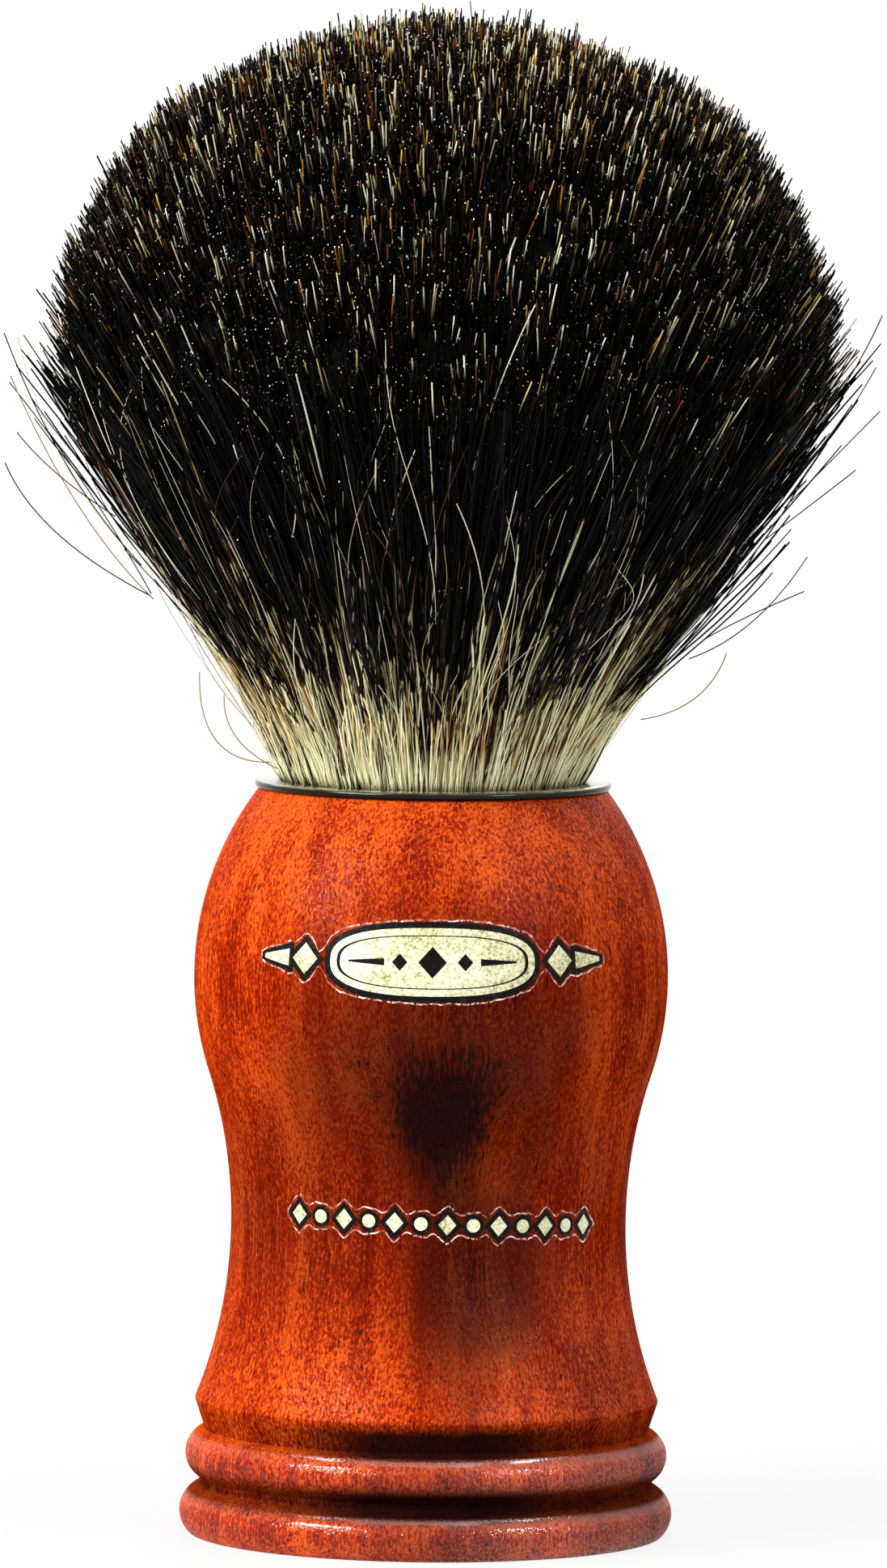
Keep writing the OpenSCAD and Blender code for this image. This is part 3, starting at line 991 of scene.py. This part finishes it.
# Stray hairs at the sides: start, middle and tip, each as x, y and z in mm, and whether the hair is dark.
STRAYS = (
    ((-20.8, -3, 69.0), (-26.2, -4, 76.2), (-30.6, -5, 85.4), True),
    ((-20.0, -1, 66.5), (-25.4, -2, 73.2), (-30.2, -3, 82.3), False),
    ((-20.2, 2, 66.7), (-25.0, 2, 74.4), (-30.4, 1, 81.7), True),
    ((-22.6, -6, 72.6), (-26.6, -8, 75.6), (-29.5, -9, 78.6), True),
    ((-20.2, -2, 66.8), (-26.8, -3, 71.2), (-30.5, -4, 76.2), True),
    ((-21.0, 4, 68.6), (-26.6, 4, 76.0), (-29.9, 3, 84.8), False),
    ((-11.6, -4, 55.2), (-15.4, -5, 56.8), (-16.6, -5, 61.6), False),
    ((-11.0, -6, 54.9), (-13.9, -8, 57.2), (-14.8, -8, 60.2), False),
    ((18.0, -3, 62.8), (22.4, -5, 65.6), (26.2, -6, 70.3), True),
    ((19.0, -5, 64.3), (22.0, -6, 66.0), (26.0, -7, 67.9), True),
    ((26.0, 2, 76.0), (28.6, 2, 79.2), (31.1, 1, 83.4), True),
    ((24.6, -4, 73.6), (28.0, -5, 77.2), (31.2, -6, 80.6), True),
    ((26.5, 5, 78.4), (29.4, 5, 82.6), (31.6, 4, 87.0), True),
    ((23.4, 0, 71.2), (27.0, 0, 74.0), (29.7, -1, 76.2), True),
    ((14.6, -5, 58.6), (18.4, -6, 60.2), (20.6, -6, 63.4), False),
)


STRAY_RINGS = 18


def bowed(start, handle, tip):
    """Curves from start to tip that bow towards a handle."""
    t = np.broadcast_to(np.linspace(0, 1, STRAY_RINGS), (len(start), STRAY_RINGS))
    return bezier(start, (start + 2 * handle) / 3, (tip + 2 * handle) / 3, tip, t)


class BRUSH_OT_lay_stray_hairs(bpy.types.Operator):
    """Lays the stray hairs that stand away from the knot"""

    bl_idname = "brush.lay_stray_hairs"
    bl_label = "Lay stray hairs"

    def execute(self, context):
        s = context.scene.brush_hair
        rng = np.random.default_rng(9)
        start, middle, tip = (np.array([row[i] for row in STRAYS]) * MM for i in range(3))
        handle = 2 * middle - (start + tip) / 2
        named = bowed(start, handle, tip)

        # More of them all round, so that the other sides are as loose as the two that the photograph shows.
        count = 70
        azimuth = rng.random(count) * TURN
        low = MOUTH_Z + rng.uniform(6, 26, count) * MM
        rise = rng.uniform(6, 12, count) * MM
        swing = rng.normal(0, 0.08, (2, count))
        outward = rng.uniform(0.2, 2.4, (2, count)) * MM
        middle_z, tip_z = low + rise * 0.5, low + rise
        start = polar(flank_radius(low) - 0.6 * MM, azimuth, low)
        handle = polar(flank_radius(middle_z) + outward[0] * 0.5, azimuth + swing[0], middle_z)
        tip = polar(flank_radius(tip_z) + outward[0], azimuth + swing[1], tip_z)
        loose = bowed(start, handle, tip)

        paths = np.concatenate([named, loose])
        dark = np.concatenate([[row[3] for row in STRAYS], rng.random(count) < 0.7])
        column = np.where(dark, rng.integers(0, 30, len(paths)), PALE_COLUMN + rng.integers(0, 4, len(paths)))
        v = np.broadcast_to(np.linspace(0.45, 0.9, STRAY_RINGS), (len(paths), STRAY_RINGS))
        thick = s.thickness * 0.7 * np.ones((len(paths), STRAY_RINGS))
        mesh = strands("stray_hairs", paths, thick, column, v, np.full(len(paths), 0.3), rng)
        new_piece("stray_hairs", mesh, bpy.data.materials["Badger_hair_cut"])
        return {"FINISHED"}


# ---------------------------------------------------------------- labels

def wood_radius(height):
    """The handle's radius at a height above the beads, where its outline runs up in one curve."""
    above = OUTSIDE[OUTSIDE[:, 1] > 0.18 * WOOD_TOP]
    return np.interp(height, above[:, 1], above[:, 0])


def bend_on_wood(flat, centre, lift):
    """Points on the wood from rows of (along, up) from a label's centre, lifted off the surface."""
    turn = math.atan2(centre[0], -centre[1]) + flat[:, 0] / wood_radius(centre[2])
    height = centre[2] + flat[:, 1]
    out = wood_radius(height) + lift
    return np.stack([out * np.sin(turn), -out * np.cos(turn), height], axis=1)


def label_centre(point, outlines):
    """The place on the wood at which the middle of what shows of a label falls on its image point."""
    tree = BVHTree.FromObject(bpy.data.objects["turned_handle"], bpy.context.evaluated_depsgraph_get())
    rows = np.concatenate(outlines)
    aim = np.array(point)
    for _ in range(4):
        centre = place_at(aim, tree)
        seen = shown_at(bend_on_wood(rows, centre, 0.0))
        aim = aim + point - (seen.min(axis=0) + seen.max(axis=0)) / 2
    return centre


CELL = 0.35 * MM    # how finely a label's sheet is cut up, so that it bends round the wood


def sheet_on_wood(name, outlines, centre, thickness):
    """A thin solid on the wood from flat outlines: (along, up) from the centre, in metres."""
    sheet = bmesh.new()
    for outline in outlines:
        sheet.faces.new([sheet.verts.new((x, y, 0)) for x, y in outline])
    low = np.min([np.min(o, axis=0) for o in outlines], axis=0)
    high = np.max([np.max(o, axis=0) for o in outlines], axis=0)
    for axis in (0, 1):
        normal = Vector((1 - axis, axis, 0))
        for place in np.arange(low[axis] + CELL / 2, high[axis], CELL):
            parts = sheet.verts[:] + sheet.edges[:] + sheet.faces[:]
            bmesh.ops.bisect_plane(sheet, geom=parts, plane_co=normal * place, plane_no=normal)
    bmesh.ops.triangulate(sheet, faces=[f for f in sheet.faces if len(f.verts) > 4])
    bmesh.ops.recalc_face_normals(sheet, faces=sheet.faces)
    for face in sheet.faces:
        if face.normal.z < 0:
            face.normal_flip()
    raised = bmesh.ops.extrude_face_region(sheet, geom=sheet.faces[:], use_keep_orig=True)
    for part in raised["geom"]:
        if isinstance(part, bmesh.types.BMVert):
            part.co.z = thickness
    bmesh.ops.recalc_face_normals(sheet, faces=sheet.faces)
    flat = np.array([vert.co for vert in sheet.verts])
    for vert, co in zip(sheet.verts, bend_on_wood(flat, centre, flat[:, 2])):
        vert.co = co
    mesh = bpy.data.meshes.new(name)
    sheet.to_mesh(mesh)
    sheet.free()
    return mesh


def oval(w, h, x=0.0, y=0.0, count=56, power=2.0):
    """A rounded outline w wide and h high; a higher power squares it."""
    turns = np.arange(count) * TURN / count
    c, s = np.cos(turns), np.sin(turns)
    return np.stack([
        x + w / 2 * np.sign(c) * np.abs(c) ** (2 / power),
        y + h / 2 * np.sign(s) * np.abs(s) ** (2 / power),
    ], axis=1)


def lozenge(w, h, x=0.0, y=0.0):
    """A lozenge w wide and h high."""
    return np.array([(x + w / 2, y), (x, y + h / 2), (x - w / 2, y), (x, y - h / 2)])


def tapered_bar(length, thick, x, side):
    """A bar that starts thick at x and tapers to a blunt point away from the middle."""
    end = x + side * length
    rows = [(x, -thick / 2), (end, -thick / 8), (end, thick / 8), (x, thick / 2)]
    return np.array(rows if side > 0 else rows[::-1])


def band(outer, inner):
    """Closed quads between two outlines of as many points."""
    pairs = zip(outer, np.roll(outer, -1, axis=0), np.roll(inner, -1, axis=0), inner)
    return [np.array(quad) for quad in pairs]


class BRUSH_OT_lay_upper_label(bpy.types.Operator):
    """Lays the upper printed label: an oval plate with lozenges and tapered bars"""

    bl_idname = "brush.lay_upper_label"
    bl_label = "Lay upper label"

    def execute(self, context):
        s = context.scene.brush_label
        line, w, h = s.line, s.plate_w, s.plate_h
        tail = w / 2 + 0.2 * MM
        ink = [oval(w, h, power=2.6)]
        gold = [oval(w - 2 * line, h - 2 * line, power=2.6)]
        inner = oval(w - 2 * line - 1.0 * MM, h - 2 * line - 1.0 * MM, power=2.6)
        fine = band(inner, inner * 0.965) + [lozenge(2.0 * MM, 2.2 * MM)]
        for side in (-1, 1):
            ink.append(lozenge(3.0 * MM, 3.3 * MM, side * (tail + 1.4 * MM)))
            ink.append(tapered_bar(2.9 * MM, 2.2 * MM, side * (tail + 2.4 * MM), side))
            gold.append(lozenge(2.0 * MM, 2.2 * MM, side * (tail + 1.4 * MM)))
            gold.append(tapered_bar(2.2 * MM, 1.2 * MM, side * (tail + 2.75 * MM), side))
            fine.append(lozenge(1.1 * MM, 1.2 * MM, side * 2.3 * MM))
            fine.append(tapered_bar(2.6 * MM, 0.5 * MM, side * 3.4 * MM, side))
        lay_label("upper_label", ink, gold, fine, 0.06 * MM, 0.0, s)
        return {"FINISHED"}


class BRUSH_OT_lay_lower_label(bpy.types.Operator):
    """Lays the lower printed label: a row of lozenges and discs"""

    bl_idname = "brush.lay_lower_label"
    bl_label = "Lay lower label"

    def execute(self, context):
        s = context.scene.brush_label
        ink, gold = [], []
        for i in range(-6, 7):
            x = i * 1.86 * MM
            if i % 2:
                ink.append(oval(1.5 * MM, 1.5 * MM, x, count=24))
                gold.append(oval(0.95 * MM, 0.95 * MM, x, count=24))
            else:
                ink.append(lozenge(2.1 * MM, 2.4 * MM, x))
                gold.append(lozenge(1.25 * MM, 1.45 * MM, x))
        lay_label("lower_label", ink, gold, [], 0.1 * MM, -1.9, s)
        return {"FINISHED"}


def film_outline(shapes, margin, rng):
    """The ragged cut round a group of shapes: half its height above and below, and as ribbon quads."""
    low = min(o[:, 0].min() for o in shapes) - margin
    high = max(o[:, 0].max() for o in shapes) + margin
    along = np.arange(low, high, 0.12 * MM)
    half = np.zeros_like(along)
    for o in shapes:
        near = (along > o[:, 0].min() - margin) & (along < o[:, 0].max() + margin)
        rows = o[np.argsort(o[:, 0])]
        top = np.interp(along, rows[:, 0], np.abs(rows[:, 1]))
        bins = np.array([np.abs(o[np.abs(o[:, 0] - x) < 0.5 * MM, 1]).max(initial=0) for x in along])
        half = np.maximum(half, np.where(near, np.maximum(top, bins) + margin, 0))
    half = np.convolve(np.pad(half, 3, "edge"), np.ones(7) / 7, "valid")
    half += np.convolve(rng.normal(0, 0.09, len(along) + 4), np.ones(5) / 5, "valid") * MM
    wide = 0.11 * MM
    quads = []
    for sign in (-1, 1):
        inside = np.stack([along, sign * half], axis=1)
        outside = inside + (0, sign * wide)
        for i in range(len(along) - 1):
            # Here and there the edge doesn't show.
            if rng.random() >= 0.1:
                quads.append(np.array([inside[i], inside[i + 1], outside[i + 1], outside[i]]))
    for x, y in ((low, half[0]), (high, half[-1])):
        quads.append(np.array([(x, -y), (x + wide, -y), (x + wide, y), (x, y)]))
    return quads


def lay_label(name, ink, gold, fine, margin, tilt, s):
    """Lays one label's film edge, black print, gold print and fine black lines, each over the last, all
    turned by tilt degrees on the wood."""
    rng = np.random.default_rng(len(ink))
    turn = np.array(Matrix.Rotation(math.radians(-tilt), 2))
    centre = label_centre(IMAGE_POINTS[name], ink)
    layers = [
        (name + "_film_edge", film_outline(ink, margin, rng), 0.03, film_edge_glint()),
        (name + "_black_print", ink, 0.025, black_ink(s)),
        (name + "_gold_print", gold, 0.045, gold_ink(s)),
    ]
    if fine:
        layers.append((name + "_fine_print", fine, 0.06, layers[1][3]))
    for piece, outlines, thickness, material in layers:
        outlines = [outline @ turn for outline in outlines]
        mesh = sheet_on_wood(piece, outlines, centre, thickness * MM)
        new_piece(piece, mesh, material)


# ---------------------------------------------------------------- stage

class BRUSH_OT_set_camera(bpy.types.Operator):
    """Sets the camera at the photograph's view"""

    bl_idname = "brush.set_camera"
    bl_label = "Set camera"

    def execute(self, context):
        s = context.scene.brush_stage
        data = bpy.data.cameras.new("camera")
        data.sensor_fit = "AUTO"
        data.sensor_width = 36
        data.lens = s.lens
        camera = linked("camera", data)
        place = Vector((s.aside, -s.distance, s.camera_height))
        sight = Vector((s.aside, 0, s.aim_height)) - place
        turn = sight.to_track_quat("-Z", "Y").to_matrix().to_4x4() @ Matrix.Rotation(s.roll, 4, "Z")
        camera.matrix_world = Matrix.Translation(place) @ turn
        context.scene.camera = camera
        context.view_layer.update()
        return {"FINISHED"}


# The panels of light: name, azimuth and elevation, width and height in metres, and the setting for its power.
# Azimuth 0 is in front of the brush, and elevation is above level.
PANEL_DISTANCE = 0.6
PANELS = (
    ("left_panel", -54, 29, (0.28, 0.09), "key"),
    ("right_panel", 48, 26, (0.12, 0.04), "fill"),
    ("top_panel", -8, 70, (0.5, 0.3), "top"),
    ("high_left_panel", -96, 60, (0.25, 0.06), "left"),
    ("high_right_panel", 96, 60, (0.25, 0.06), "right"),
    ("back_panel", 175, 35, (0.3, 0.3), "back"),
)
WHITE = (1, 1, 1, 1)


def seen_white(tree):
    """1 for what the camera sees, in reflections and through clear things too, and 0 for light."""
    path = add(tree, "LightPath").outputs
    return greatest(tree, [path["Is Camera Ray"], path["Is Glossy Ray"], path["Is Transmission Ray"]])


class BRUSH_OT_set_stage(bpy.types.Operator):
    """Sets the pale floor, the panels of soft light and the white surroundings"""

    bl_idname = "brush.set_stage"
    bl_label = "Set stage"

    def execute(self, context):
        s = context.scene.brush_stage
        self.floor()
        self.surroundings(context, s)
        for name, azimuth, elevation, size, power in PANELS:
            self.panel(name, azimuth, elevation, size, getattr(s, power))
        return {"FINISHED"}

    def floor(self):
        """A wide sheet of white paper that shows white to the camera, less the brush's soft shadow."""
        made, tree, coords = new_material("Paper_seamless_white")
        place = coords["Object"]
        # Past the brush's shadow the paper shows plain white.
        away = add(tree, "VectorMath", {0: place}, operation="LENGTH").outputs["Value"]
        plain = ranged(tree, away, 0.03, 0.12, 0.85, 1.0)
        share = maths(tree, "MULTIPLY", seen_white(tree), plain)
        paper = ramp(tree, noise(tree, place, 900.0)["Fac"], [(0.3, "#c2c2c2"), (0.7, "#c8c8c8")])
        lit = add(tree, "BsdfDiffuse", {0: paper})
        white = add(tree, "Emission", {0: WHITE, 1: 1.0})
        mixed = add(tree, "MixShader", {0: share, 1: lit.outputs[0], 2: white.outputs[0]})
        add(tree, "OutputMaterial", {"Surface": mixed.outputs[0]})
        half = 4.0
        co = np.array([(-half, -half, 0), (half, -half, 0), (half, half, 0), (-half, half, 0)])
        mesh = mesh_from("floor", co, [np.array([[0, 1, 2, 3]])], smooth=False)
        mesh.materials.append(made)
        floor = linked("floor", mesh)
        floor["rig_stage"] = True

    def surroundings(self, context, s):
        """A world that is white to the camera and in reflections, and a plain soft light otherwise."""
        world = bpy.data.worlds.new("surroundings")
        world.use_nodes = True
        tree = world.node_tree
        tree.nodes.clear()
        soft = add(tree, "Background", {0: WHITE, 1: s.ambient})
        white = add(tree, "Background", {0: WHITE, 1: 1.0})
        mixed = add(tree, "MixShader", {0: seen_white(tree), 1: soft.outputs[0], 2: white.outputs[0]})
        add(tree, "OutputWorld", {0: mixed.outputs[0]})
        context.scene.world = world

    def panel(self, name, azimuth, elevation, size, power):
        """A soft panel that faces the brush."""
        data = bpy.data.lights.new(name, "AREA")
        data.shape = "RECTANGLE"
        data.size, data.size_y = size
        data.energy = power
        light = linked(name, data)
        turn, rise = math.radians(azimuth), math.radians(elevation)
        middle = Vector((0, 0, HAIR_TOP / 2))
        way = Vector((math.sin(turn) * math.cos(rise), -math.cos(turn) * math.cos(rise), math.sin(rise)))
        light.location = middle + way * PANEL_DISTANCE
        light.rotation_euler = (-way).to_track_quat("-Z", "Y").to_euler()


# ---------------------------------------------------------------- panel and running

GROUPS = {
    "brush_wood": WoodSettings, "brush_hair": HairSettings, "brush_label": LabelSettings,
    "brush_stage": StageSettings,
}
OPERATORS = (
    BRUSH_OT_set_camera, BRUSH_OT_turn_handle, BRUSH_OT_finish_fittings, BRUSH_OT_pack_knot,
    BRUSH_OT_plant_hair, BRUSH_OT_lay_guard_hairs, BRUSH_OT_lay_stray_hairs, BRUSH_OT_lay_upper_label,
    BRUSH_OT_lay_lower_label, BRUSH_OT_set_stage,
)


class BRUSH_PT_parts(bpy.types.Panel):
    """Lists the brush's sizes and colours and the steps that make it"""

    bl_label = "Shaving brush"
    bl_idname = "BRUSH_PT_parts"
    bl_space_type = "VIEW_3D"
    bl_region_type = "UI"
    bl_category = "Brush"

    def draw(self, context):
        for name, group in GROUPS.items():
            box = self.layout.box()
            for prop in group.__annotations__:
                box.prop(getattr(context.scene, name), prop)
        for operator in OPERATORS:
            self.layout.operator(operator.bl_idname)


def register():
    for name, group in GROUPS.items():
        bpy.utils.register_class(group)
        setattr(bpy.types.Scene, name, PointerProperty(type=group))
    for cls in OPERATORS + (BRUSH_PT_parts,):
        bpy.utils.register_class(cls)


def unregister():
    for cls in (BRUSH_PT_parts,) + OPERATORS[::-1]:
        bpy.utils.unregister_class(cls)
    for name, group in GROUPS.items():
        delattr(bpy.types.Scene, name)
        bpy.utils.unregister_class(group)


def silhouette(obj, low, high, side, narrow=False):
    """Image x and y of a turned piece's edge between two heights: its widest ring there, or its narrowest."""
    co = rows_of(obj.data)
    co = co[(co[:, 2] >= low - TINY) & (co[:, 2] <= high + TINY)]
    seen = shown_at(co)
    rings = np.round(co[:, 2], 5)
    found = []
    for height in np.unique(rings):
        on_ring = seen[rings == height]
        found.append(on_ring[(side * on_ring[:, 0]).argmax()])
    found = np.array(found)
    reach = side * found[:, 0]
    return found[reach.argmin() if narrow else reach.argmax()]


def write_points():
    """Finds where each turned ring's edge and each label's black print show in the image."""
    meshes = [o for o in bpy.context.scene.objects if o.type == "MESH"]
    pieces = [o for o in meshes if not o.hide_render and not o.get("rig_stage")]
    everything = np.concatenate([shown_at(rows_of(o.data)) for o in pieces])
    wood, collar = bpy.data.objects["turned_handle"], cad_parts["collar"]
    rings = {
        "flange": (collar, WOOD_TOP, MOUTH_Z, False),
        "belly": (wood, 0.6 * WOOD_TOP, 0.9 * WOOD_TOP, False),
        "waist": (wood, 0.3 * WOOD_TOP, 0.6 * WOOD_TOP, True),
        "flare": (wood, 0.16 * WOOD_TOP, 0.25 * WOOD_TOP, False),
        "foot": (wood, 0.0, 0.06 * WOOD_TOP, False),
    }
    for name, (piece, low, high, narrow) in rings.items():
        for word, side in (("left", -1), ("right", 1)):
            silhouette(piece, low, high, side, narrow)
    for name in ("upper_label", "lower_label"):
        seen = shown_at(rows_of(bpy.data.objects[name + "_black_print"].data))


def main():
    register()
    bpy.context.scene.view_settings.view_transform = "Standard"
    for operator in OPERATORS:
        group, name = operator.bl_idname.split(".")
        getattr(getattr(bpy.ops, group), name)()
    write_points()


if __name__ == "__main__":
    main()
